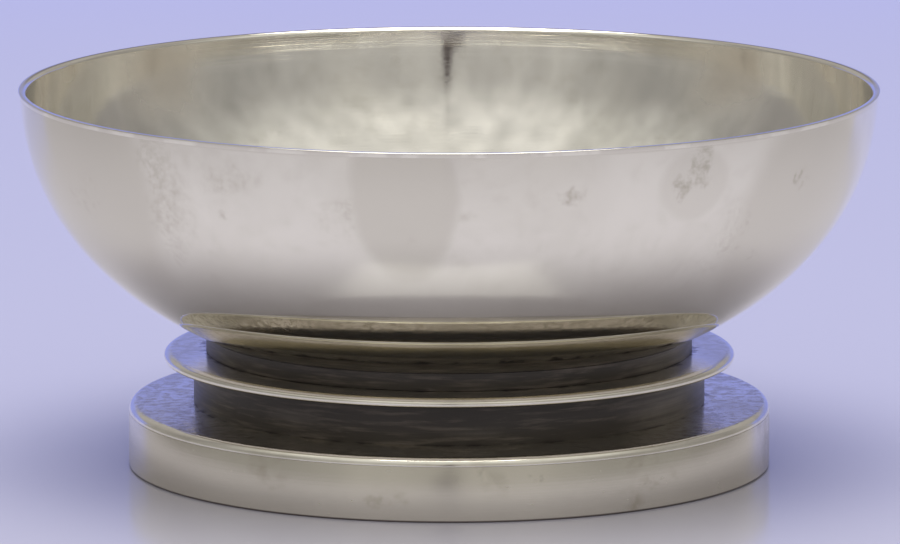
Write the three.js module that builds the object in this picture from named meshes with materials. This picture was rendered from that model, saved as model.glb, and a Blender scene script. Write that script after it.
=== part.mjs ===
import * as THREE from 'three';

// Waste bowl of a tea service: a silver bowl on a stepped round foot of dark turned wood and silver.
// Millimetres, +Z up, with the origin on the table under the centre of the foot.

// Bowl and rim
const rimRadius = 75;
const rimWireHeight = 0.8;
const rimWireOverhang = 0.5;
const wallThickness = 1.1;
const bowlDepth = 51.3;
const bowlFullness = 2.1;

// Stepped foot, from the table up
const plinthRadius = 56.1;
const plinthHeight = 11.1;
const plateThickness = 1.5;
const plateEdgeRadius = 0.8;
const plateSeamChamfer = 0.2;
const registerHeight = 0.6;
const plinthWallThickness = 1.3;
const footWireWidth = 2.2;
const footWireHeight = 2.2;
const footWireCorner = 0.5;
const plinthLedge = 11.4;
const lipWidth = 2;
const discLedge = 5.2;
const discThickness = 1.6;
const discEdgeRadius = 0.55;
const upperCollarInset = 2.2;
const upperCollarHeight = 2.75;
const upperCollarWidth = 4;
const collarCorner = 0.25;

// Clamp that holds the stack together
const studRadius = 2.5;
const studFlangeRadius = 8;
const studFlangeThickness = 1.2;
const studFlangeClearance = 1.8;
const studEndLength = 1;
const studEndChamfer = 0.4;
const washerRadius = 14;
const washerThickness = 1.2;
const nutAcrossFlats = 8;
const nutThickness = 3;
const nutBevel = 0.4;

// Clearances
const seatGap = 0.3;
const boreClearance = 0.3;

// Facets
const turnSegments = 64;
const smallTurnSegments = 24;
const bowlCurveSteps = 19;
const seatSteps = 3;
const edgeArcSteps = 4;

// Radii that follow from the sizes above
const wallRadius = rimRadius - rimWireOverhang;
const mouthRadius = wallRadius - wallThickness;
const lowerCollarRadius = plinthRadius - plinthLedge;
const discRadius = lowerCollarRadius + discLedge;
const upperCollarRadius = lowerCollarRadius - upperCollarInset;
const discHoleRadius = upperCollarRadius - upperCollarWidth;
const lipRadius = discHoleRadius - boreClearance;
const collarBoreRadius = lipRadius - lipWidth;
const registerRadius = collarBoreRadius - boreClearance;
const plinthWallBore = plinthRadius - plinthWallThickness;
const studHoleRadius = studRadius + boreClearance;

// Depth below the rim plane at which the bowl's section curve has a given radius
function curveDepth(radius, widest, depth) {
  return depth * (1 - (radius / widest) ** bowlFullness) ** (1 / bowlFullness);
}

// The bowl hangs as low as its stud's flange allows over the plinth
const plateUnderside = plinthHeight - plateThickness;
const registerTop = plinthHeight + registerHeight;
const studFlangeUnderside = registerTop + studFlangeClearance;
const bowlBottom = studFlangeUnderside + studFlangeThickness + seatGap;
const rimPlane = bowlBottom + bowlDepth;
const wireUnderside = rimPlane - rimWireHeight;

function bowlOutsideHeight(radius) {
  return rimPlane - curveDepth(radius, wallRadius, bowlDepth);
}

// The collars fill the height up to the bowl, which is carried at the upper one's outer edge
const discTop = bowlOutsideHeight(upperCollarRadius) - seatGap - upperCollarHeight;
const discUnderside = discTop - discThickness;

// The clamp hangs from the recess under the plinth's raised middle
const washerTop = plateUnderside + registerHeight;
const nutTop = washerTop - washerThickness;
const nutUnderside = nutTop - nutThickness;

// Section curve of the bowl from the wire's underside down to the axis
function bowlCurve(widest, depth) {
  const power = 2 / bowlFullness;
  const start = Math.asin((rimWireHeight / depth) ** (1 / power));
  const points = [];
  for (let i = 0; i <= bowlCurveSteps; i += 1) {
    const angle = start + (Math.PI / 2 - start) * (i / bowlCurveSteps);
    const radius = i === bowlCurveSteps ? 0 : widest * Math.cos(angle) ** power;
    const height = i === 0 ? wireUnderside : rimPlane - depth * Math.sin(angle) ** power;
    points.push([radius, height]);
  }
  return points;
}

// Arc of a rounded edge, angles in degrees from the outward direction
function edgeArc(radius, height, corner, from, to, steps = edgeArcSteps) {
  const points = [];
  for (let i = 0; i <= steps; i += 1) {
    const angle = THREE.MathUtils.degToRad(from + (to - from) * (i / steps));
    points.push([radius + corner * Math.cos(angle), height + corner * Math.sin(angle)]);
  }
  return points;
}

// Solid of revolution about Z from a section given as [radius, height], upwards on the outside
function turned(section, segments = turnSegments) {
  const points = section.map(([radius, height]) => new THREE.Vector2(radius, height));
  const geometry = new THREE.LatheGeometry(points, segments);
  geometry.rotateX(Math.PI / 2);
  return geometry;
}

function turnedRing(section, segments = turnSegments) {
  return turned([...section, section[0]], segments);
}

// Spun bowl of even wall, open at the top, where the rim wire sits on its edge
function bowlShellGeometry() {
  const outside = bowlCurve(wallRadius, bowlDepth);
  const inside = bowlCurve(mouthRadius, bowlDepth - wallThickness);
  return turned([...outside.reverse(), ...inside]);
}

// Wire on the bowl's edge: half-round outside, where it stands proud of the wall, and rounded over
// its whole height inside, where it is flush
function rimWireGeometry() {
  const bead = rimWireHeight / 2;
  return turnedRing([
    ...edgeArc(rimRadius - bead, wireUnderside + bead, bead, -90, 90, 2 * edgeArcSteps),
    ...edgeArc(mouthRadius + rimWireHeight, wireUnderside, rimWireHeight, 90, 180),
  ]);
}

// Ebony ring whose top is turned to the bowl's curve
function upperCollarGeometry() {
  const seat = [];
  for (let i = 0; i <= seatSteps; i += 1) {
    const radius = upperCollarRadius - upperCollarWidth * (i / seatSteps);
    seat.push([radius, bowlOutsideHeight(radius) - seatGap]);
  }
  return turnedRing([
    [discHoleRadius, discTop],
    [upperCollarRadius - collarCorner, discTop],
    [upperCollarRadius, discTop + collarCorner],
    ...seat,
  ]);
}

// Thin silver disc with softened edges, held between the two collars
function footDiscGeometry() {
  const centre = discRadius - discEdgeRadius;
  return turnedRing([
    [discHoleRadius, discUnderside],
    ...edgeArc(centre, discUnderside + discEdgeRadius, discEdgeRadius, -90, 0),
    ...edgeArc(centre, discTop - discEdgeRadius, discEdgeRadius, 0, 90),
    [discHoleRadius, discTop],
  ]);
}

// Ebony ring with a lip that centres the disc, its bore round the plate's raised middle
function lowerCollarGeometry() {
  return turnedRing([
    [collarBoreRadius, plinthHeight],
    [lowerCollarRadius - collarCorner, plinthHeight],
    [lowerCollarRadius, plinthHeight + collarCorner],
    [lowerCollarRadius, discUnderside - collarCorner],
    [lowerCollarRadius - collarCorner, discUnderside],
    [lipRadius, discUnderside],
    [lipRadius, discTop - seatGap],
    [collarBoreRadius, discTop - seatGap],
  ]);
}

// Top of the plinth: a plate with a rounded edge and a fine groove where it meets the side band.
// Its middle is pressed up, and so centres the collar.
function plinthPlateGeometry() {
  const centre = plinthRadius - plateEdgeRadius;
  return turnedRing([
    [studHoleRadius, washerTop],
    [registerRadius - plateThickness, washerTop],
    [registerRadius - plateThickness + registerHeight, plateUnderside],
    [plinthRadius - plateSeamChamfer, plateUnderside],
    [plinthRadius, plateUnderside + plateSeamChamfer],
    ...edgeArc(centre, plinthHeight - plateEdgeRadius, plateEdgeRadius, 0, 90),
    [registerRadius, plinthHeight],
    [registerRadius - registerHeight, registerTop],
    [studHoleRadius, registerTop],
  ]);
}

// Side of the plinth: an upright band soldered under the plate
function plinthWallGeometry() {
  return turnedRing([
    [plinthWallBore, 0],
    [plinthRadius, 0],
    [plinthRadius, plateUnderside],
    [plinthWallBore, plateUnderside],
  ]);
}

// Wire inside the band's lower edge, which stiffens it and stands on the table
function footWireGeometry() {
  const outer = plinthWallBore - seatGap;
  const inner = outer - footWireWidth;
  return turnedRing([
    [inner, 0],
    [outer, 0],
    [outer, footWireHeight],
    [inner + footWireCorner, footWireHeight],
    [inner, footWireHeight - footWireCorner],
  ]);
}

// Flanged stud: the flange follows the bowl's underside, and the shank runs down through the plate
function clampStudGeometry() {
  const flangeTop = [];
  for (let i = 0; i <= seatSteps; i += 1) {
    const radius = studFlangeRadius * (1 - i / seatSteps);
    flangeTop.push([radius, bowlOutsideHeight(radius) - seatGap]);
  }
  const studEnd = nutUnderside - studEndLength;
  return turned([
    [0, studEnd],
    [studRadius - studEndChamfer, studEnd],
    [studRadius, studEnd + studEndChamfer],
    [studRadius, studFlangeUnderside],
    [studFlangeRadius, studFlangeUnderside],
    ...flangeTop,
  ], smallTurnSegments);
}

// Brass washer that spreads the nut's pull under the plate
function clampWasherGeometry() {
  return turnedRing([
    [studHoleRadius, nutTop],
    [washerRadius, nutTop],
    [washerRadius, washerTop],
    [studHoleRadius, washerTop],
  ], smallTurnSegments);
}

// Hexagonal brass nut with bevelled edges
function clampNutGeometry() {
  const shape = new THREE.Shape();
  const cornerRadius = (nutAcrossFlats / 2 - nutBevel) / Math.cos(Math.PI / 6);
  for (let i = 0; i < 6; i += 1) {
    const angle = (i * Math.PI) / 3;
    const place = [cornerRadius * Math.cos(angle), cornerRadius * Math.sin(angle)];
    if (i === 0) shape.moveTo(...place);
    else shape.lineTo(...place);
  }
  shape.closePath();
  const bore = new THREE.Path();
  bore.absarc(0, 0, studHoleRadius + nutBevel, 0, Math.PI * 2, true);
  shape.holes.push(bore);
  const geometry = new THREE.ExtrudeGeometry(shape, {
    depth: nutThickness - 2 * nutBevel,
    bevelThickness: nutBevel,
    bevelSize: nutBevel,
    bevelSegments: 1,
    curveSegments: smallTurnSegments / 2,
  });
  geometry.translate(0, 0, nutUnderside + nutBevel);
  return geometry;
}

function silver(color, roughness) {
  return new THREE.MeshStandardMaterial({ color, roughness, metalness: 1 });
}

function ebony() {
  return new THREE.MeshStandardMaterial({ color: 0x2d2823, roughness: 0.35, metalness: 0 });
}

function brass() {
  return new THREE.MeshStandardMaterial({ color: 0xb3904f, roughness: 0.4, metalness: 1 });
}

const wasteBowl = new THREE.Group();

function addPiece(name, geometry, material) {
  const piece = new THREE.Mesh(geometry, material);
  piece.name = name;
  wasteBowl.add(piece);
}

addPiece('bowl_shell', bowlShellGeometry(), silver(0xb9b3a8, 0.3));
addPiece('rim_wire', rimWireGeometry(), silver(0xc9c5bd, 0.2));
addPiece('upper_collar', upperCollarGeometry(), ebony());
addPiece('foot_disc', footDiscGeometry(), silver(0xc6c1b5, 0.25));
addPiece('lower_collar', lowerCollarGeometry(), ebony());
addPiece('plinth_plate', plinthPlateGeometry(), silver(0xb4aea2, 0.3));
addPiece('plinth_wall', plinthWallGeometry(), silver(0xa59e92, 0.35));
addPiece('foot_wire', footWireGeometry(), silver(0xa59e92, 0.35));
addPiece('clamp_stud', clampStudGeometry(), brass());
addPiece('clamp_washer', clampWasherGeometry(), brass());
addPiece('clamp_nut', clampNutGeometry(), brass());

export default wasteBowl;
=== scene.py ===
import math

import bmesh
import bpy
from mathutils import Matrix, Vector


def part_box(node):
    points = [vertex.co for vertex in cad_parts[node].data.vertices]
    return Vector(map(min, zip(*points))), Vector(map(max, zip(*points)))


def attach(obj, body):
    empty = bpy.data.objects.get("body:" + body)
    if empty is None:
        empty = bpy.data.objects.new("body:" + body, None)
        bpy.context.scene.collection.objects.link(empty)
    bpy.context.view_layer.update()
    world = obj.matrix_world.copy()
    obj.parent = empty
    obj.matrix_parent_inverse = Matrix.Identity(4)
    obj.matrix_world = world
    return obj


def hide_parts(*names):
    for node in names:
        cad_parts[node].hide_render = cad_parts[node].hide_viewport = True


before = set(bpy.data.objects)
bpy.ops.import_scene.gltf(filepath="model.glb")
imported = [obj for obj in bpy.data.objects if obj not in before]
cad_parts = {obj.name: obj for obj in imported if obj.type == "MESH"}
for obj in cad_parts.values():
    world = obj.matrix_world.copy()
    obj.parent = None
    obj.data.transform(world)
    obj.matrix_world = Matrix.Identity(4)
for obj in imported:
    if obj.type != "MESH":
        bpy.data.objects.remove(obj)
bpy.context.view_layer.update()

# The plinth's side is an upright band of silver sheet, bent round and soldered where its ends meet.
# It was brushed along its length, its lower edge stands on the table, and years of handling have
# left brown blotches on it.
mm = 0.001
full_turn_steps = 256
corner_steps = 5
sharp_edge_angle = math.radians(28)
weld_distance = 0.002 * mm
near_by = 0.01 * mm
round_all = (1, 1, 1)

silver_metal = 0.97
clean_silver = (0.93, 0.89, 0.77, 1)
dull_silver = (0.5, 0.45, 0.34, 1)
# The brown of the painted shade in crevices and at the feet of parts.
shade_brown = (0.2, 0.17, 0.15, 1)
mottle_share = 0.45
shade_core = 0.35
scratch_turns = ((0.3, 0.9, 0.5), (1.2, -0.4, 2.1))
scratch_share = 0.29


def section(name, inner, outer, low, high):
    """A flat rectangle in the XZ plane: the cut face of a ring before it is turned."""
    bpy.ops.object.select_all(action="DESELECT")
    bpy.ops.mesh.primitive_plane_add(size=1, rotation=(math.pi / 2, 0, 0))
    piece = bpy.context.object
    piece.name = name
    piece.data.name = name
    piece.location = ((inner + outer) / 2, 0, (low + high) / 2)
    piece.scale = (outer - inner, high - low, 1)
    bpy.ops.object.transform_apply(location=True, rotation=True, scale=True)
    bpy.ops.object.mode_set(mode="EDIT")
    return piece


def pick(piece, wanted, mode="VERT"):
    """In edit mode, selects the points that a test wants, and the edges and faces between them."""
    bpy.ops.mesh.select_mode(type=mode)
    bpy.ops.mesh.select_all(action="DESELECT")
    shape = bmesh.from_edit_mesh(piece.data)
    chosen = {point for point in shape.verts if wanted(point.co)}
    if mode == "VERT":
        for point in chosen:
            point.select = True
    else:
        for edge in shape.edges:
            edge.select = all(point in chosen for point in edge.verts)
    shape.select_flush_mode()
    bmesh.update_edit_mesh(piece.data)


def near(x, z):
    """A test for the section's point at a place."""
    return lambda at: math.hypot(at.x - x, at.z - z) < near_by


def round_corners(piece, radius, *corners, steps=corner_steps, fullness=0.5):
    """Rounds some of the section's corners to one radius. A low fullness makes a soft bevel instead."""
    pick(piece, lambda at: any(near(*corner)(at) for corner in corners))
    bpy.ops.mesh.bevel(offset=radius, segments=steps, profile=fullness, affect="VERTICES")


def cut(piece, place, across):
    """Cuts the section through along a line, and keeps both sides."""
    bpy.ops.mesh.select_all(action="SELECT")
    bpy.ops.mesh.bisect(plane_co=place, plane_no=across)


def turn(piece, steps=full_turn_steps):
    """Turns a section once round the upright axis, and leaves one closed solid."""
    bpy.ops.mesh.select_mode(type="VERT")
    bpy.ops.mesh.select_all(action="SELECT")
    bpy.ops.mesh.dissolve_faces()
    shape = bmesh.from_edit_mesh(piece.data)
    on_axis = [edge for edge in shape.edges if all(point.co.x < weld_distance for point in edge.verts)]
    bmesh.ops.delete(shape, geom=shape.faces[:], context="FACES_ONLY")
    bmesh.ops.delete(shape, geom=on_axis, context="EDGES")
    bmesh.update_edit_mesh(piece.data)
    bpy.ops.mesh.select_all(action="SELECT")
    bpy.ops.mesh.spin(steps=steps, angle=math.tau, center=(0, 0, 0), axis=(0, 0, 1))
    bpy.ops.mesh.select_all(action="SELECT")
    bpy.ops.mesh.remove_doubles(threshold=weld_distance)
    bpy.ops.mesh.normals_make_consistent(inside=False)
    bpy.ops.object.mode_set(mode="OBJECT")
    bpy.ops.object.shade_smooth_by_angle(angle=sharp_edge_angle)


def fit(piece, finish, node):
    """Gives a piece its finish and hands it to the frame in the place of its CAD node."""
    piece.data.materials.clear()
    piece.data.materials.append(finish)
    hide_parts(node)
    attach(piece, "root")


class Shading:
    """The nodes of a material or a world: each method adds some and returns an output socket."""

    def __init__(self, owner, coordinates="Object"):
        owner.use_nodes = True
        self.owner = owner
        self.tree = owner.node_tree
        self.guide = self.add("ShaderNodeTexCoord")
        self.place = self.guide.outputs[coordinates]

    def plug(self, value, socket):
        if isinstance(value, bpy.types.NodeSocket):
            self.tree.links.new(value, socket)
        else:
            socket.default_value = value

    def add(self, kind, *values, **named):
        made = self.tree.nodes.new(kind)
        for key in [key for key in named if hasattr(made, key)]:
            setattr(made, key, named.pop(key))
        for index, value in enumerate(values):
            self.plug(value, made.inputs[index])
        for key, value in named.items():
            self.plug(value, made.inputs[key.replace("_", " ")])
        return made

    def math(self, operation, first, second=0.0, third=0.0):
        return self.add("ShaderNodeMath", first, second, third, operation=operation).outputs[0]

    def ramp(self, value, start, end, low=0.0, high=1.0):
        made = self.add("ShaderNodeMapRange", value, start, end, low, high, interpolation_type="SMOOTHSTEP")
        return made.outputs["Result"]

    def from_level(self, value, level):
        """How far a value is from a level, either way."""
        return self.math("ABSOLUTE", self.math("SUBTRACT", value, level))

    def scaled(self, place, x, y, z, turned=(0, 0, 0)):
        made = self.add("ShaderNodeMapping", place, Rotation=turned, Scale=(x, y, z))
        return made.outputs[0]

    def cloud(self, place, lumps, detail=4.0, roughness=0.55, distortion=0.0):
        """Noise with about so many lumps in a metre."""
        made = self.add("ShaderNodeTexNoise", Vector=place, Scale=lumps, Detail=detail)
        self.plug(roughness, made.inputs["Roughness"])
        self.plug(distortion, made.inputs["Distortion"])
        return made.outputs["Fac"]

    def radius(self):
        """Distance from the upright axis."""
        flat = self.add("ShaderNodeVectorMath", self.place, (1, 1, 0), operation="MULTIPLY").outputs[0]
        return self.add("ShaderNodeVectorMath", flat, operation="LENGTH").outputs["Value"]

    def rings(self, along, across, detail=3.0):
        """Fine lines that run round the axis, on upright walls and flat tops alike."""
        split = self.add("ShaderNodeSeparateXYZ", self.place)
        step = self.math("MULTIPLY", self.math("ADD", self.radius(), split.outputs["Z"]), across)
        x = self.math("MULTIPLY", split.outputs["X"], along)
        y = self.math("MULTIPLY", split.outputs["Y"], along)
        line = self.add("ShaderNodeCombineXYZ", x, y, step).outputs[0]
        return self.cloud(line, 1.0, detail, 0.6)

    def hairs(self, turned, share):
        """Straight hairline scratches in one direction: 1 on a scratch and 0 beside it."""
        drawn = self.scaled(self.place, 28, 1500, 1500, turned)
        return self.ramp(self.cloud(drawn, 1.0, 2.0), 1 - share, 1.05 - share)

    def blot(self, centre, size, edge=0.8, ragged=0.9, stretch=(1, 1, 1)):
        """A stain round a place, its radius in mm, with a ragged edge: 1 inside and 0 outside."""
        middle = tuple(value * mm for value in centre)
        offset = self.add("ShaderNodeVectorMath", self.place, middle, operation="SUBTRACT").outputs[0]
        drawn = self.add("ShaderNodeVectorMath", offset, stretch, operation="MULTIPLY").outputs[0]
        far = self.add("ShaderNodeVectorMath", drawn, operation="LENGTH").outputs["Value"]
        wave = self.cloud(self.place, 0.9 / (size * mm), 5.0, 0.62)
        far = self.math("MULTIPLY_ADD", self.math("SUBTRACT", wave, 0.5), 2 * ragged * size * mm, far)
        return self.ramp(far, size * mm, size * mm * (1 - edge))

    def upright(self):
        """Height over the table."""
        return self.add("ShaderNodeSeparateXYZ", self.place).outputs["Z"]

    def most(self, values):
        """The highest of several values."""
        total = values[0]
        for value in values[1:]:
            total = self.math("MAXIMUM", total, value)
        return total

    def mix(self, factor, first, second):
        made = self.add("ShaderNodeMix", data_type="RGBA")
        self.plug(factor, made.inputs[0])
        self.plug(first, made.inputs[6])
        self.plug(second, made.inputs[7])
        return made.outputs[2]

    def bump(self, height, strength, distance, normal=None):
        made = self.add("ShaderNodeBump", Strength=strength, Distance=distance, Height=height)
        if normal is not None:
            self.plug(normal, made.inputs["Normal"])
        return made.outputs["Normal"]


class Finish(Shading):
    """A material under construction round one Principled shader."""

    def __init__(self, name):
        super().__init__(bpy.data.materials.new(name))
        self.material = self.owner
        self.shader = self.tree.nodes["Principled BSDF"]

    def set(self, **values):
        """Plugs values into the shader, with _ for a space in an input's name."""
        for key, value in values.items():
            self.plug(value, self.shader.inputs[key.replace("_", " ")])

    def show(self, surface):
        """Shows another shader's output in the place of the Principled one."""
        self.plug(surface, self.tree.nodes["Material Output"].inputs["Surface"])

    def facing_up(self):
        """1 on a flat top, 0 on an upright wall and -1 on an underside."""
        return self.add("ShaderNodeSeparateXYZ", self.guide.outputs["Normal"]).outputs["Z"]

    def tarnish(self, haze_depth, mottle_depth):
        """Wide soft clouds of tarnish, and a fine mottle over them."""
        haze = self.ramp(self.cloud(self.place, 24, 5.0, 0.6, 0.6), 0.42, 0.75)
        mottle = self.ramp(self.cloud(self.place, 240, 4.0, 0.62), 0.48, 0.85)
        mottle = self.math("MULTIPLY", mottle, mottle_depth)
        return self.math("MULTIPLY_ADD", haze, haze_depth, mottle)

    def blots(self, marks, edge=0.8, ragged=0.9):
        """Blots, each a place and a radius in mm, a depth and a stretch. The deepest one counts."""
        return self.most([
            self.math("MULTIPLY", self.blot(centre, size, edge, ragged, stretch), depth)
            for centre, size, depth, stretch in marks
        ])

    def grain(self):
        """Fine dots that break a stain up."""
        return self.ramp(self.cloud(self.place, 620, 5.0, 0.75), 0.38, 0.66, 0.35, 1.0)

    def scratches(self):
        return self.most([self.hairs(turned, scratch_share) for turned in scratch_turns])

    def worn(self, rings, ring_depth, scratches, scratch_depth):
        """A surface with turning lines, faint broad waves and scratches."""
        normal = self.bump(rings, ring_depth, 0.03 * mm)
        normal = self.bump(self.cloud(self.place, 70, 2.0), 0.06, 0.2 * mm, normal)
        return self.bump(scratches, scratch_depth, -0.02 * mm, normal)


def old_silver(
    name, gloss=0.13, dulling=0.3, line_depth=0.1, line_count=2400, scratch=0.3, dark_marks=(), speckle=0.0,
    shade_levels=(), shade_radius=0.0, film=0.0,
):
    """Old silver: tarnish, turning lines, scratches, brown blots, speckle on top, and brown painted shade
    in crevices.
    """
    silver = Finish(name)
    tarnish = silver.tarnish(dulling, mottle_share * dulling)
    # Brown blots: real staining on the band and the plate, painted shade on the disc.
    if dark_marks:
        marked = silver.math("MULTIPLY", silver.blots(dark_marks), silver.grain())
        tarnish = silver.math("MAXIMUM", tarnish, marked)
    tarnish = silver.math("MAXIMUM", tarnish, film)
    specks = silver.ramp(silver.cloud(silver.place, 560, 5.0, 0.72), 0.44, 0.62)
    specks = silver.math("MULTIPLY", specks, silver.ramp(silver.facing_up(), 0.9, 0.99))
    tarnish = silver.math("MAXIMUM", tarnish, silver.math("MULTIPLY", specks, speckle))
    colour = silver.mix(tarnish, clean_silver, dull_silver)
    # Brown painted shade: a band round each given height, and a ragged ring inside the given radius, where
    # crevices and the feet of parts lie in shade.
    for level, reach in shade_levels:
        away = silver.from_level(silver.upright(), level)
        colour = silver.mix(silver.ramp(away, reach, shade_core * reach), colour, shade_brown)
    if shade_radius:
        wave = silver.math("SUBTRACT", silver.cloud(silver.place, 330, 5.0, 0.7), 0.5)
        ragged = silver.math("MULTIPLY_ADD", wave, 9 * mm, silver.radius())
        caught = silver.ramp(ragged, shade_radius + 0.8 * mm, shade_radius - 0.4 * mm)
        colour = silver.mix(caught, colour, shade_brown)

    rings = silver.rings(16, line_count)
    scratches = silver.scratches()
    roughness = silver.math("MULTIPLY_ADD", tarnish, 0.1, gloss)
    roughness = silver.math("MULTIPLY_ADD", rings, 0.02, roughness)
    roughness = silver.math("MULTIPLY_ADD", scratches, 0.12 * scratch, roughness)
    normal = silver.worn(rings, line_depth, scratches, 0.35 * scratch)
    normal = silver.bump(specks, speckle, -0.02 * mm, normal)
    silver.set(Base_Color=colour, Metallic=silver_metal, Roughness=roughness, Normal=normal)
    return silver.material


band_low, band_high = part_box("plinth_wall")
plinth_radius = band_high.x
band_thickness = 1.3 * mm
band_bore = plinth_radius - band_thickness
band_corner = 0.3 * mm
band_top_corner = 0.08 * mm
# Painted shade: a thin brown line along the band's foot, where it meets the table.
band_foot_shade = ((band_low.z + 0.05 * mm, 0.4 * mm),)
band_stains = (
    ((-10.0, -55.0, 4.0), 5.0, 0.75, (0.6, 1, 1.6)),
    ((14.0, -54.0, 7.0), 3.5, 0.6, (0.7, 1, 1.5)),
    ((-30.0, -47.0, 6.0), 5.0, 0.6, (0.7, 1, 1.6)),
    ((34.0, -44.0, 5.0), 6.0, 0.65, (0.7, 1, 1.6)),
    ((46.0, 31.0, 5.0), 6.0, 0.55, (1, 0.7, 1.5)),
    ((-40.0, 39.0, 5.0), 6.0, 0.55, (1, 0.7, 1.5)),
)

plinth_side = section("plinth_side_band", band_bore, plinth_radius, band_low.z, band_high.z)
round_corners(plinth_side, band_corner, (band_bore, band_low.z), (plinth_radius, band_low.z), steps=4)
round_corners(plinth_side, band_top_corner, (plinth_radius, band_high.z), steps=2)
turn(plinth_side)
band_silver = old_silver(
    "brushed_silver", gloss=0.17, dulling=0.95, line_depth=0.28, line_count=3400, scratch=0.5,
    dark_marks=band_stains, speckle=0.3, shade_levels=band_foot_shade, film=0.35,
)
fit(plinth_side, band_silver, "plinth_wall")

# A round-cornered wire is soldered inside the band's lower edge. It stiffens the thin sheet and
# gives the bowl a broad foot to stand on.
wire_low, wire_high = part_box("foot_wire")
solder_gap = 0.02 * mm
wire_width = 2.2 * mm
wire_outer = band_bore - solder_gap
wire_inner = wire_high.x - wire_width
wire_corner = 0.6 * mm
solder_rise = 0.5 * mm

foot_ring = section("foot_wire_ring", wire_inner, wire_outer, wire_low.z, wire_high.z)
cut(foot_ring, (wire_outer - solder_rise, 0, 0), (1, 0, 0))
pick(foot_ring, near(wire_outer, wire_high.z))
bpy.ops.transform.translate(value=(0, 0, solder_rise))
round_corners(foot_ring, wire_corner, (wire_inner, wire_high.z))
round_corners(foot_ring, band_corner, (wire_inner, wire_low.z), steps=3)
turn(foot_ring)
foot_silver = old_silver("foot_wire_silver", gloss=0.26, dulling=0.7, line_count=1800, scratch=0.8)
fit(foot_ring, foot_silver, "foot_wire")

# The plinth's top is a silver plate with a rounded edge. A fine seam runs round under the edge,
# where it is soldered to the band, and its middle is pressed up to centre the collar.
plate_low, plate_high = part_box("plinth_plate")
register_radius = 35.9 * mm
register_height = 0.6 * mm
register_slant = 0.9 * mm
plate_top = plate_high.z - register_height
plate_thickness = plate_top - plate_low.z
plate_bore = 2.8 * mm
plate_edge = 1.38 * mm
seam_bevel = 0.08 * mm
# Painted shade: a ragged brown ring on the plate's top round the lower collar's foot, under the disc's
# overhang.
plate_shade_radius = 44.5 * mm
plate_stains = (
    ((-48.0, -12.0, 11.1), 7.0, 0.6, round_all),
    ((49.0, -6.0, 11.1), 6.0, 0.55, round_all),
    ((44.0, 24.0, 11.1), 5.0, 0.5, round_all),
    ((-40.0, 28.0, 11.1), 6.0, 0.5, round_all),
)

plinth_top = section("plinth_top_plate", plate_bore, plinth_radius, plate_low.z, plate_top)
round_corners(plinth_top, plate_edge, (plinth_radius, plate_top), steps=14)
round_corners(plinth_top, seam_bevel, (plinth_radius, plate_low.z), steps=2)
slant = (plate_thickness, 0, -register_slant)
pressed_radius = register_radius - register_height
cut(plinth_top, (register_radius, 0, plate_top), slant)
cut(plinth_top, (pressed_radius, 0, plate_top), slant)
slope = register_slant / plate_thickness
pick(plinth_top, lambda at: at.x < pressed_radius + near_by - slope * (plate_top - at.z))
bpy.ops.transform.translate(value=(0, 0, register_height))
turn(plinth_top)
plate_silver = old_silver(
    "plate_silver", gloss=0.12, dulling=0.5, line_depth=0.14, line_count=1700, scratch=0.9,
    dark_marks=plate_stains, speckle=0.7, shade_radius=plate_shade_radius,
)
fit(plinth_top, plate_silver, "plinth_plate")

# The lower neck is a ring of ebony, turned and waxed. A lip at its bore goes up through the disc
# and centres it. Dust and old polish have caught in its turning lines.
neck_low, neck_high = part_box("lower_collar")
neck_radius = neck_high.x
neck_bore = 36.2 * mm
neck_lip = 38.2 * mm
neck_corner = 0.12 * mm
disc_low, disc_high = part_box("foot_disc")
ebony_black = (0.04, 0.031, 0.023, 1)
ebony_brown = (0.12, 0.098, 0.077, 1)
ebony_pale = (0.19, 0.165, 0.14, 1)


def turned_ebony(name, dust_and_sheen_marks):
    """Ebony off the lathe: nearly black, waxed, with ring lines, pale scuffs and open grain. Dust and a
    painted sheen pale its rings in patches.
    """
    ebony = Finish(name)
    rings = ebony.rings(22, 1500)
    streak = ebony.ramp(ebony.rings(95, 1150, 5.0), 0.47, 0.72)
    scuff = ebony.cloud(ebony.scaled(ebony.place, 90, 90, 420), 1.0, 5.0, 0.65)
    scuff = ebony.ramp(scuff, 0.6, 0.82)
    pale = ebony.math("MULTIPLY", scuff, 0.7)
    caught = ebony.ramp(rings, 0.3, 0.7, 0.3, 1.0)
    for centre, size, depth, stretch in dust_and_sheen_marks:
        pale_patch = ebony.math("MULTIPLY", ebony.blot(centre, size, 1.0, 0.5, stretch), caught)
        pale = ebony.math("MULTIPLY_ADD", pale_patch, depth, pale)
    dark = ebony.mix(streak, ebony_black, ebony_brown)
    roughness = ebony.math("MULTIPLY_ADD", scuff, 0.22, 0.3)
    roughness = ebony.math("MULTIPLY_ADD", rings, 0.12, roughness)
    pores = ebony.ramp(ebony.cloud(ebony.scaled(ebony.place, 240, 1900, 1900), 1.0, 2.0), 0.62, 0.75)
    normal = ebony.bump(pores, 0.3, -0.05 * mm, ebony.bump(rings, 0.5, 0.06 * mm))
    ebony.set(Base_Color=ebony.mix(pale, dark, ebony_pale), Roughness=roughness, Normal=normal)
    return ebony.material


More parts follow.
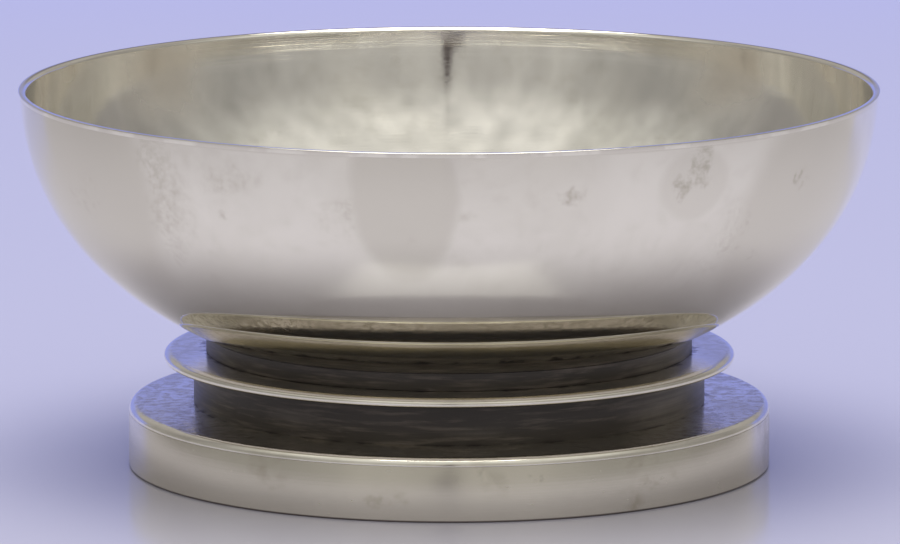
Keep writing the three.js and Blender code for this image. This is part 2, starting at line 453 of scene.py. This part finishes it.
# Pale patches in the rings. Dust makes the two long ones in front; the two broad round ones on the right
# side are painted sheen.
ebony_dust_and_sheen = (
    ((-25.0, -33.0, 14.6), 5.0, 0.6, (0.6, 0.6, 2.5)),
    ((4.0, -41.5, 13.4), 4.5, 0.6, (0.6, 0.6, 3)),
    ((34.0, -23.0, 14.8), 15.0, 1.0, round_all),
    ((37.0, -14.0, 21.5), 9.0, 0.6, round_all),
)
ebony_finish = turned_ebony("turned_ebony", ebony_dust_and_sheen)
lower_neck = section("lower_ebony_collar", neck_bore, neck_radius, neck_low.z, disc_low.z)
round_corners(lower_neck, neck_corner, (neck_radius, neck_low.z), (neck_radius, disc_low.z))
cut(lower_neck, (neck_lip, 0, 0), (1, 0, 0))
pick(lower_neck, lambda at: at.x < neck_lip + near_by and at.z > disc_low.z - near_by, "EDGE")
bpy.ops.mesh.extrude_region_move(TRANSFORM_OT_translate={"value": (0, 0, neck_high.z - disc_low.z)})
turn(lower_neck)
fit(lower_neck, ebony_finish, "lower_collar")

# A thin silver disc stands out between the two dark rings. Its edge is softened by hand, so that
# it catches the light as one bright line all round.
disc_radius = disc_high.x
disc_hole = 38.5 * mm
disc_edge = 0.95 * mm
disc_edge_spread = 1.6
disc_under_edge = 0.5 * mm
# Painted shade: brown on the disc's underside and lower edge, and a ragged brown ring on its top round the
# upper collar's foot, under the bowl.
disc_under_shade = ((disc_low.z, 0.35 * mm),)
disc_shade_radius = 42.6 * mm
# Painted shade: two small dark patches on the disc's top, at its left and right, under the bowl's overhang.
disc_shade_patches = (
    ((-44.0, 14.0, 20.2), 4.0, 0.45, round_all),
    ((45.0, 10.0, 20.2), 3.5, 0.45, round_all),
)

foot_disc = section("silver_foot_disc", disc_hole, disc_radius, disc_low.z, disc_high.z)
bpy.ops.mesh.select_all(action="SELECT")
bpy.ops.transform.resize(value=(1 / disc_edge_spread, 1, 1), center_override=(disc_radius, 0, 0))
round_corners(foot_disc, disc_edge, (disc_radius, disc_high.z), steps=12)
bpy.ops.mesh.select_all(action="SELECT")
bpy.ops.transform.resize(value=(disc_edge_spread, 1, 1), center_override=(disc_radius, 0, 0))
round_corners(foot_disc, disc_under_edge, (disc_radius, disc_low.z), steps=8)
turn(foot_disc)
disc_silver = old_silver(
    "disc_silver", line_depth=0.14, line_count=2100, scratch=0.8, dark_marks=disc_shade_patches, speckle=0.35,
    shade_levels=disc_under_shade, shade_radius=disc_shade_radius,
)
fit(foot_disc, disc_silver, "foot_disc")

# The upper neck is a lower ebony ring. Its top is turned to the bowl's curve, and carries the bowl
# near the ring's outer edge.
seat_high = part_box("upper_collar")[1]
seat_radius = seat_high.x
seat_bore = 38.5 * mm
seat_corner = 0.08 * mm
seat_steps = 6
bowl_low, bowl_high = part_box("bowl_shell")
rim_low, rim_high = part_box("rim_wire")
wall_radius = bowl_high.x
rim_plane = rim_high.z
bowl_depth = rim_plane - bowl_low.z
bowl_fullness = 2.1
seat_gap = 0.05 * mm


def bowl_underside(radius):
    """Height of the bowl's outside at a distance from the axis."""
    share = 1 - (radius / wall_radius) ** bowl_fullness
    return rim_plane - bowl_depth * share ** (1 / bowl_fullness)


upper_neck = section("upper_ebony_collar", seat_bore, seat_radius, disc_high.z, seat_high.z)
round_corners(upper_neck, seat_corner, (seat_radius, disc_high.z))
pick(upper_neck, lambda at: at.z > seat_high.z - near_by, "EDGE")
bpy.ops.mesh.subdivide(number_cuts=seat_steps)
shape = bmesh.from_edit_mesh(upper_neck.data)
for point in shape.verts:
    if point.co.z > seat_high.z - near_by:
        point.co.z = bowl_underside(point.co.x) - seat_gap
bmesh.update_edit_mesh(upper_neck.data)
turn(upper_neck)
fit(upper_neck, ebony_finish, "upper_collar")

# Wood can't be soldered, so a brass stud draws the stack together. Its flange is soldered under
# the bowl, and its threaded shank runs down through the collars and the plate.
stud_low, stud_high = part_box("clamp_stud")
flange_radius = stud_high.x
flange_underside = 13.5 * mm
stud_radius = 2.5 * mm
stud_chamfer = 0.4 * mm
flange_corner = 0.2 * mm
stud_turn_steps = 96
thread_pitch = 0.8 * mm
thread_depth = 0.35 * mm
brass_clean = (0.72, 0.52, 0.25, 1)
brass_brown = (0.36, 0.23, 0.1, 1)


def old_brass(name):
    """Plain turned brass that has gone brown in places."""
    brass = Finish(name)
    haze = brass.ramp(brass.cloud(brass.place, 130, 5.0, 0.62, 0.4), 0.4, 0.72)
    roughness = brass.math("MULTIPLY_ADD", haze, 0.2, 0.3)
    normal = brass.bump(brass.rings(30, 2600), 0.3, 0.04 * mm)
    normal = brass.bump(brass.hairs((0.7, 0.2, 1.1), 0.3), 0.2, -0.03 * mm, normal)
    colour = brass.mix(haze, brass_clean, brass_brown)
    brass.set(Base_Color=colour, Metallic=1.0, Roughness=roughness, Normal=normal)
    return brass.material


brass_finish = old_brass("old_brass")
stud = section("flanged_stud", 0, flange_radius, flange_underside, stud_high.z)
cut(stud, (stud_radius, 0, 0), (1, 0, 0))
pick(stud, lambda at: at.x < stud_radius + near_by and at.z < flange_underside + near_by, "EDGE")
shank_drop = (0, 0, stud_low.z - flange_underside)
bpy.ops.mesh.extrude_region_move(TRANSFORM_OT_translate={"value": shank_drop})
round_corners(stud, stud_chamfer, (stud_radius, stud_low.z), steps=1)
flange_ends = ((flange_radius, flange_underside), (flange_radius, stud_high.z))
round_corners(stud, flange_corner, *flange_ends, steps=3)
pick(stud, lambda at: at.z > stud_high.z - near_by, "EDGE")
bpy.ops.mesh.subdivide(number_cuts=seat_steps)
thread_count = 2 * round((flange_underside - stud_low.z - 2 * stud_chamfer) / thread_pitch)
pick(
    stud, lambda at: abs(at.x - stud_radius) < near_by and at.z < flange_underside + near_by, "EDGE",
)
bpy.ops.mesh.subdivide(number_cuts=thread_count)
shape = bmesh.from_edit_mesh(stud.data)
shank = [point for point in shape.verts if abs(point.co.x - stud_radius) < near_by]
shank.sort(key=lambda point: point.co.z)
for point in shank[1:-1:2]:
    point.co.x -= thread_depth
for point in shape.verts:
    if point.co.z > stud_high.z - near_by:
        point.co.z = bowl_underside(point.co.x) - seat_gap
bmesh.update_edit_mesh(stud.data)
turn(stud, stud_turn_steps)
fit(stud, brass_finish, "clamp_stud")

# A broad brass washer spreads the nut's pull under the plate's pressed middle.
# It is punched from sheet, so its edges are a little rounded.
washer_low, washer_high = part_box("clamp_washer")
washer_edge = 0.2 * mm
washer_turn_steps = 128

washer = section("brass_washer", plate_bore, washer_high.x, washer_low.z, washer_high.z)
washer_corners = ((washer_high.x, washer_low.z), (washer_high.x, washer_high.z), (plate_bore, washer_low.z))
round_corners(washer, washer_edge, *washer_corners, steps=3)
turn(washer, washer_turn_steps)
fit(washer, brass_finish, "clamp_washer")

# The hexagonal brass nut closes the stack from below.
# Its corners are chamfered on the lathe, and its bore is bevelled.
nut_low, nut_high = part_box("clamp_nut")
nut_height = nut_high.z - nut_low.z
nut_middle = (nut_high.z + nut_low.z) / 2
nut_corner_radius = (nut_high.y - nut_low.y) / 2 / math.cos(math.pi / 6)
nut_chamfer = 0.45 * mm
nut_bore = 2.6 * mm
nut_bore_bevel = 0.25 * mm
nut_trim_sides = 96
nut_bore_sides = 48


def drum(name, radius, height, sides, bevel):
    """An upright drum at the nut's place with bevelled ends, to cut or to trim the nut with."""
    bpy.ops.object.select_all(action="DESELECT")
    bpy.ops.mesh.primitive_cylinder_add(
        vertices=sides, radius=radius, depth=height, location=(0, 0, nut_middle),
        rotation=(0, 0, math.pi / 6),
    )
    made = bpy.context.object
    made.name = name
    made.data.name = name
    bpy.ops.object.transform_apply(location=True, rotation=True, scale=True)
    if bevel:
        bpy.ops.object.mode_set(mode="EDIT")
        for end in (nut_middle - height / 2, nut_middle + height / 2):
            pick(made, lambda at, end=end: abs(at.z - end) < near_by, "EDGE")
            bpy.ops.mesh.bevel(offset=bevel, segments=1)
        bpy.ops.object.mode_set(mode="OBJECT")
    return made


def trim(piece, tool, operation):
    """Applies one boolean cut and removes the tool that made it."""
    bpy.ops.object.select_all(action="DESELECT")
    bpy.context.view_layer.objects.active = piece
    piece.select_set(True)
    step = piece.modifiers.new("trim", "BOOLEAN")
    step.operation = operation
    step.object = tool
    step.solver = "EXACT"
    bpy.ops.object.modifier_apply(modifier=step.name)
    bpy.data.objects.remove(tool)


nut = drum("brass_nut", nut_corner_radius, nut_height, 6, 0)
trim(nut, drum("nut_trim", nut_corner_radius, nut_height, nut_trim_sides, nut_chamfer), "INTERSECT")
trim(nut, drum("nut_bore", nut_bore, 2 * nut_height, nut_bore_sides, 0), "DIFFERENCE")
bpy.ops.object.mode_set(mode="EDIT")
pick(nut, lambda at: abs(math.hypot(at.x, at.y) - nut_bore) < near_by, "EDGE")
bpy.ops.mesh.bevel(offset=nut_bore_bevel, segments=1)
bpy.ops.object.mode_set(mode="OBJECT")
bpy.ops.object.shade_smooth_by_angle(angle=sharp_edge_angle)
fit(nut, brass_finish, "clamp_nut")

# The bowl is spun from one silver disc over a round chuck, so its wall is even and its curve has no
# seam. It leans out a little at the mouth, and it has dull patches that were never polished off.
wall_thickness = 1.1 * mm
curve_power = 2 / bowl_fullness
wire_underside = rim_low.z
mouth_cut = ((rim_plane - wire_underside) / bowl_depth) ** (1 / curve_power)
flare = 0.5 * (rim_high.x - wall_radius)
flare_reach = 4.0 * mm
bowl_rings = 180
pole_reach = 1e-9
clean_outside = (0.92, 0.89, 0.77, 1)
clean_inside = (0.93, 0.9, 0.82, 1)
olive_silver = (0.5, 0.47, 0.36, 1)
# The colour of the painted shade low on the bowl's outside.
low_shaded_silver = (0.5, 0.465, 0.41, 1)
bowl_stains = (
    ((-7.3, -71.3, 51.0), 9.5, 0.48, (1.1, 1, 0.85)),
    ((-16.5, -71.1, 55.3), 7.5, 0.42, round_all),
    ((-37.6, -64.0, 60.5), 7.5, 0.45, (0.8, 1, 1.2)),
    ((-38.2, -61.8, 53.7), 1.3, 0.9, round_all),
    ((20.3, -70.9, 58.1), 3.6, 0.8, (0.8, 1, 1.4)),
    ((1.1, -73.1, 55.6), 3.0, 0.4, (0.6, 1, 1.6)),
    ((42.3, -61.1, 61.6), 4.8, 0.72, (1.2, 1, 0.9)),
    ((39.3, -62.8, 58.6), 4.0, 0.72, (1, 1, 0.9)),
    ((49.5, -50.8, 49.4), 12.0, 0.5, round_all),
    ((-50.0, -53.0, 56.0), 13.0, 0.5, (1, 1, 0.8)),
    ((-62.0, -37.0, 54.0), 12.0, 0.6, (1, 1, 0.7)),
    ((59.0, -42.0, 57.5), 4.5, 0.8, (1, 1, 1.1)),
    ((53.5, -45.0, 44.5), 4.0, 0.6, (0.7, 1, 1.6)),
)
bowl_veils = (
    ((-7.5, -72.6, 59.0), 13.5, 0.38, (1.2, 1, 0.75)),
    ((60.0, -38.0, 48.0), 24.0, 0.34, round_all),
    ((-64.0, -34.0, 55.0), 30.0, 0.42, round_all),
    ((41.0, -61.0, 59.0), 8.0, 0.2, round_all),
)
# Painted reflection: duller, browner silver near the rim inside, at both ends and at two back corners.
reflection_patch_silver = (0.5, 0.45, 0.38, 1)
end_patch_depth = 9 * mm
bowl_reflection_patches = (
    ((-51.5, 51.7, 61.0), 16.0, 1.6, (1, 1, 1.3)),
    ((51.5, 51.7, 61.0), 16.0, 1.6, (1, 1, 1.3)),
)

bpy.ops.object.select_all(action="DESELECT")
bpy.ops.mesh.primitive_uv_sphere_add(segments=full_turn_steps, ring_count=bowl_rings, radius=1)
bowl = bpy.context.object
bowl.name = "spun_bowl"
bowl.data.name = "spun_bowl"
bpy.ops.object.mode_set(mode="EDIT")
bpy.ops.mesh.select_all(action="SELECT")
bpy.ops.mesh.bisect(plane_co=(0, 0, -mouth_cut), plane_no=(0, 0, 1), clear_outer=True)
shape = bmesh.from_edit_mesh(bowl.data)
for point in shape.verts:
    reach = math.hypot(point.co.x, point.co.y)
    depth = bowl_depth * min(-point.co.z, 1) ** curve_power
    radius = wall_radius * min(reach, 1) ** curve_power
    radius += flare * math.exp(-depth / flare_reach) * min(reach, 1)
    wider = radius / reach if reach > pole_reach else 0
    point.co = Vector((point.co.x * wider, point.co.y * wider, rim_plane - depth))
bmesh.update_edit_mesh(bowl.data)
bpy.ops.mesh.select_all(action="SELECT")
bpy.ops.mesh.remove_doubles(threshold=weld_distance)
bpy.ops.mesh.normals_make_consistent(inside=False)
bpy.ops.object.mode_set(mode="OBJECT")
wall = bowl.modifiers.new("wall", "SOLIDIFY")
wall.thickness = wall_thickness
wall.offset = -1
wall.use_even_offset = True
bpy.ops.object.modifier_apply(modifier=wall.name)
bpy.ops.object.shade_smooth_by_angle(angle=sharp_edge_angle)


def bowl_polish(name, dark_marks, veils, reflection_patches):
    """Silver polished to a mirror: the outside yellower with brown blots, and painted shade low down and
    under the wire; the inside with fine rings and duller painted reflection near the rim.
    """
    silver = Finish(name)
    centre = silver.add("ShaderNodeVectorMath", silver.place, (0, 0, rim_plane), operation="SUBTRACT")
    facing = silver.add(
        "ShaderNodeVectorMath", centre.outputs[0], silver.guide.outputs["Normal"], operation="DOT_PRODUCT",
    )
    outside = silver.math("GREATER_THAN", facing.outputs["Value"], 0.0)
    inside = silver.math("SUBTRACT", 1.0, outside)
    height = silver.upright()

    marks_and_shadow = silver.math("MULTIPLY", silver.blots(dark_marks), silver.grain())
    # Painted shadow: a faint dark line on the outside just under the rim wire, added to the stain blots and
    # veils.
    shadow_under_wire = silver.ramp(height, wire_underside - 0.45 * mm, wire_underside - 0.1 * mm, 0.0, 0.2)
    marks_and_shadow = silver.most([marks_and_shadow, silver.blots(veils, 0.3, 0.2), shadow_under_wire])
    tarnish = silver.most([silver.tarnish(0.24, 0.18), silver.math("MULTIPLY", marks_and_shadow, outside)])
    # Painted shade: the outside turns darker and browner towards the foot.
    low_painted_shade = silver.math("MULTIPLY", silver.ramp(height, 49 * mm, 37 * mm, 0.0, 0.5), outside)
    clean = silver.mix(outside, clean_inside, clean_outside)
    colour = silver.mix(low_painted_shade, silver.mix(tarnish, clean, olive_silver), low_shaded_silver)

    sideways = silver.add("ShaderNodeSeparateXYZ", silver.place).outputs["X"]
    at_sides = silver.ramp(silver.math("ABSOLUTE", sideways), 58 * mm, 68 * mm)
    # Painted reflection: near the rim inside, at both ends and at the two back corners, the silver is
    # duller, browner and partly matt, standing in for the dim light reflected there.
    under_rim = silver.ramp(height, rim_plane - end_patch_depth, rim_plane - end_patch_depth / 3)
    under_rim = silver.math("MULTIPLY", under_rim, at_sides)
    reflection_patch = silver.most([under_rim, silver.blots(reflection_patches, 1.0, 0.6)])
    reflection_patch = silver.math("MULTIPLY", reflection_patch, inside)
    colour = silver.mix(silver.math("MULTIPLY", reflection_patch, 0.5), colour, reflection_patch_silver)
    metal = silver.math("MULTIPLY_ADD", reflection_patch, -0.27, silver_metal)

    rings = silver.rings(16, 1500)
    scratches = silver.scratches()
    polish = silver.math("MULTIPLY", silver.ramp(height, 30 * mm, 62 * mm, 0.0, 0.06), outside)
    roughness = silver.math("MULTIPLY_ADD", tarnish, 0.12, polish)
    roughness = silver.math("MULTIPLY_ADD", rings, 0.02, silver.math("ADD", roughness, 0.02))
    roughness = silver.math("MULTIPLY_ADD", scratches, 0.04, roughness)
    normal = silver.worn(rings, 0.03, scratches, 0.1)
    fine_rings = silver.math("MULTIPLY", silver.rings(10, 9000, 1.0), inside)
    normal = silver.bump(fine_rings, 1.0, 0.004 * mm, normal)
    silver.set(Base_Color=colour, Metallic=metal, Roughness=roughness, Normal=normal)
    return silver.material


fit(bowl, bowl_polish("bowl_silver", bowl_stains, bowl_veils, bowl_reflection_patches), "bowl_shell")

# A low silver wire is soldered on the bowl's edge. Outside it leans out a little from the wall, and
# inside it is filed to a soft bevel, which is worn bright all round the mouth.
rim_radius = rim_high.x
wall_top_radius = wall_radius + flare * math.exp((wire_underside - rim_plane) / flare_reach)
mouth_radius = wall_top_radius - wall_thickness
rim_height = rim_high.z - rim_low.z
rim_corner = 0.13 * mm
rim_bevel = 0.64 * rim_height
rim_fullness = 0.33
rim_step = 0.1 * mm
rim_turn_steps = 384
rim_tarnish = (0.42, 0.38, 0.31, 1)

rim = section("mouth_wire", mouth_radius, rim_radius, rim_low.z, rim_high.z)
round_corners(rim, rim_bevel, (mouth_radius, rim_high.z), steps=8, fullness=rim_fullness)
round_corners(rim, rim_corner, (rim_radius, rim_high.z), steps=6)
pick(rim, near(rim_radius, rim_low.z))
bpy.ops.transform.translate(value=(wall_top_radius + rim_step - rim_radius, 0, 0))
turn(rim, rim_turn_steps)


def rim_polish(name):
    """Bright silver inside and on top. Its outer side is darker in patches, and a faint haze lies over it
    all.
    """
    silver = Finish(name)
    side = silver.ramp(silver.radius(), wall_radius - 0.1 * mm, wall_radius + 0.1 * mm)
    side = silver.math("MULTIPLY", side, silver.ramp(silver.facing_up(), 0.8, 0.5))
    side_patches = silver.ramp(silver.cloud(silver.place, 170, 4.0, 0.6), 0.6, 0.48, 0.1, 0.35)
    haze = silver.ramp(silver.cloud(silver.place, 60, 5.0), 0.45, 0.75, 0.0, 0.2)
    tarnish = silver.math("MAXIMUM", haze, silver.math("MULTIPLY", side, side_patches))
    colour = silver.mix(tarnish, silver.mix(side, clean_silver, clean_outside), rim_tarnish)
    roughness = silver.math("MULTIPLY_ADD", tarnish, 0.12, 0.09)
    normal = silver.bump(silver.rings(16, 1800), 0.05, 0.03 * mm)
    silver.set(Base_Color=colour, Metallic=silver_metal, Roughness=roughness, Normal=normal)
    return silver.material


fit(rim, rim_polish("rim_silver"), "rim_wire")

# The bowl stands on a sheet of pale violet plastic with a soft gloss. The sheet is large enough
# for every view, and it can't be seen from below, so that the underside shows.
table_reach = 14.0
table_colour = (0.54, 0.525, 0.61, 1)
table_roughness = 0.16
table_index = 1.55

bpy.ops.object.select_all(action="DESELECT")
bpy.ops.mesh.primitive_plane_add(size=2 * table_reach)
table = bpy.context.object
table.name = "table"
table_finish = Finish("pale_violet_plastic")
table_finish.set(Base_Color=table_colour, Roughness=table_roughness, IOR=table_index)
below = table_finish.add("ShaderNodeNewGeometry").outputs["Backfacing"]
clear = table_finish.add("ShaderNodeBsdfTransparent").outputs[0]
blend = table_finish.add("ShaderNodeMixShader", below, table_finish.shader.outputs[0], clear)
table_finish.show(blend.outputs[0])
table.data.materials.append(table_finish.material)

# A pale tent with soft folds stands round the bowl, darker at the sides and behind, where a duller
# strip hangs. The light comes from one broad soft box overhead.
tent_wall = (0.44, 0.43, 0.42, 1)
tent_slope = (0.74, 0.73, 0.71, 1)
slope_from, slope_to = 0.3, 0.72
tent_back = (0.37, 0.355, 0.35, 1)
back_from, back_to = -0.15, 0.35
side_from, side_to, side_share = 0.45, 0.9, 0.7
fold_size = (7.5, 7.5, 0.8)
strip_colour = (0.19, 0.175, 0.18, 1)
strip_way, strip_half_width, strip_fade = 0.037, 0.1, 0.035
strip_low, strip_high, strip_end_fade = 0.2, 0.84, 0.06
hem_height, hem_half_width, hem_fade, hem_share = 0.087, 0.002, 0.012, 0.22

world = bpy.data.worlds.new("studio")
bpy.context.scene.world = world
studio = Shading(world, "Generated")
way = studio.add("ShaderNodeSeparateXYZ", studio.place).outputs
light = studio.mix(studio.ramp(way["Z"], slope_from, slope_to), tent_wall, tent_slope)
light = studio.mix(studio.ramp(way["Y"], back_from, back_to), light, tent_back)
folds = studio.math("SUBTRACT", studio.cloud(studio.scaled(studio.place, *fold_size), 1.0, 3.0, 0.6), 0.5)
folds = studio.math("MULTIPLY_ADD", folds, studio.ramp(way["Z"], 0.1, 0.7, 0.5, 1.3), 1.0)
to_side = studio.ramp(studio.math("ABSOLUTE", way["X"]), side_from, side_to, 1.0, side_share)
dimmed = studio.math("MULTIPLY", folds, to_side)
light = studio.add("ShaderNodeVectorMath", light, operation="SCALE", Scale=dimmed).outputs[0]
behind = studio.math("DIVIDE", way["X"], studio.math("MAXIMUM", way["Y"], 0.001))
across = studio.from_level(behind, strip_way)
across = studio.ramp(across, strip_half_width + strip_fade, strip_half_width)
top_end = studio.ramp(way["Z"], strip_high + strip_end_fade, strip_high)
low_end = studio.ramp(way["Z"], strip_low - strip_end_fade, strip_low)
strip = studio.math("MULTIPLY", across, studio.math("MULTIPLY", top_end, low_end))
light = studio.mix(strip, light, strip_colour)
hem = studio.from_level(way["Z"], hem_height)
hem = studio.ramp(hem, hem_half_width + hem_fade, hem_half_width, 0.0, hem_share)
light = studio.mix(hem, light, tent_slope)
studio.plug(light, studio.tree.nodes["Background"].inputs["Color"])

box_height = 1.5
box_width = 1.0
box_depth = 1.4
box_watts = 21.0

bpy.ops.object.select_all(action="DESELECT")
bpy.ops.object.light_add(type="AREA", location=(0, 0, box_height))
soft_box = bpy.context.object
soft_box.name = "soft_box"
soft_box.data.shape = "RECTANGLE"
soft_box.data.size = box_width
soft_box.data.size_y = box_depth
soft_box.data.energy = box_watts

# A low violet backdrop stands behind the bowl, out of the picture. The table and the tops of the disc
# and the plinth reflect it, and its upper edge fades out.
backdrop_distance = 0.62
backdrop_half_width = 0.6
backdrop_full = 0.13
backdrop_top = 0.19
backdrop_colour = (0.3, 0.34, 0.81, 1)


def card(name, x, y, half_width, height):
    """An upright card on the table that the camera doesn't see and that throws no shadow."""
    bpy.ops.object.select_all(action="DESELECT")
    bpy.ops.mesh.primitive_plane_add(size=2, rotation=(math.pi / 2, 0, 0))
    made = bpy.context.object
    made.name = name
    made.location = (x, y, height / 2)
    made.scale = (half_width, height / 2, 1)
    bpy.ops.object.transform_apply(location=True, rotation=True, scale=True)
    made.visible_camera = False
    made.visible_shadow = False
    return made


backdrop = card("backdrop", 0, backdrop_distance, backdrop_half_width, backdrop_top)
violet = Finish("violet_backdrop")
glow = violet.add("ShaderNodeEmission", Color=backdrop_colour, Strength=1.0).outputs[0]
clear = violet.add("ShaderNodeBsdfTransparent").outputs[0]
fade = violet.ramp(violet.upright(), backdrop_full, backdrop_top)
blend = violet.add("ShaderNodeMixShader", fade, glow, clear).outputs[0]
violet.show(blend)
backdrop.data.materials.append(violet.material)

# The tent is open in front, low and broad for the camera and narrowing upwards, and a seam runs up
# from its top. It shows as a dark streak inside the bowl and down the plinth.
gap_distance = 2.3
gap_base = -0.046
gap_base_half_width = 0.12
gap_base_height = 0.17
gap_steps = ((0.25, 0.022, 0.058), (1.17, 0.022, 0.006), (3.2, 0.022, 0.004))
gap_colour = (0.15, 0.125, 0.125, 1)

gap = card("tent_opening", gap_base, -gap_distance, gap_base_half_width, gap_base_height)
bpy.ops.object.mode_set(mode="EDIT")
pick(gap, lambda at: at.z > gap_base_height / 2, "EDGE")
height, centre, half_width = gap_base_height, gap_base, gap_base_half_width
for next_height, next_centre, next_half_width in gap_steps:
    step = (next_centre - centre, 0, next_height - height)
    bpy.ops.mesh.extrude_region_move(TRANSFORM_OT_translate={"value": step})
    narrowing = (next_half_width / half_width, 1, 1)
    bpy.ops.transform.resize(value=narrowing, center_override=(next_centre, 0, 0))
    height, centre, half_width = next_height, next_centre, next_half_width
bpy.ops.object.mode_set(mode="OBJECT")
gap_dark = Finish("opening_dark")
gap_dark.set(Base_Color=gap_colour, Roughness=1.0)
gap.data.materials.append(gap_dark.material)

# The camera stands where the photographer's did: in front, about ten degrees above the bowl's
# foot, far off with a long lens.
camera_distance = 1.6
camera_pitch = math.radians(9.66)
camera_lens = 366.1
camera_sensor = 36
aim_height = 0.033
photo_width = 900
photo_height = 544
bowl_centre_x = 449.2
aim_row = 275.5

camera_data = bpy.data.cameras.new("camera")
camera = bpy.data.objects.new("camera", camera_data)
bpy.context.scene.collection.objects.link(camera)
back = Vector((0, -math.cos(camera_pitch), math.sin(camera_pitch)))
camera.location = Vector((0, 0, aim_height)) + back * camera_distance
camera.rotation_mode = "QUATERNION"
camera.rotation_quaternion = (-back).to_track_quat("-Z", "Y")
camera_data.sensor_width = camera_sensor
camera_data.lens = camera_lens
camera_data.shift_x = (photo_width / 2 - bowl_centre_x) / photo_width
camera_data.shift_y = (aim_row - photo_height / 2) / photo_width
camera_data.clip_start = 0.05
camera_data.clip_end = 20
bpy.context.scene.camera = camera

bpy.context.scene.view_settings.view_transform = "Standard"
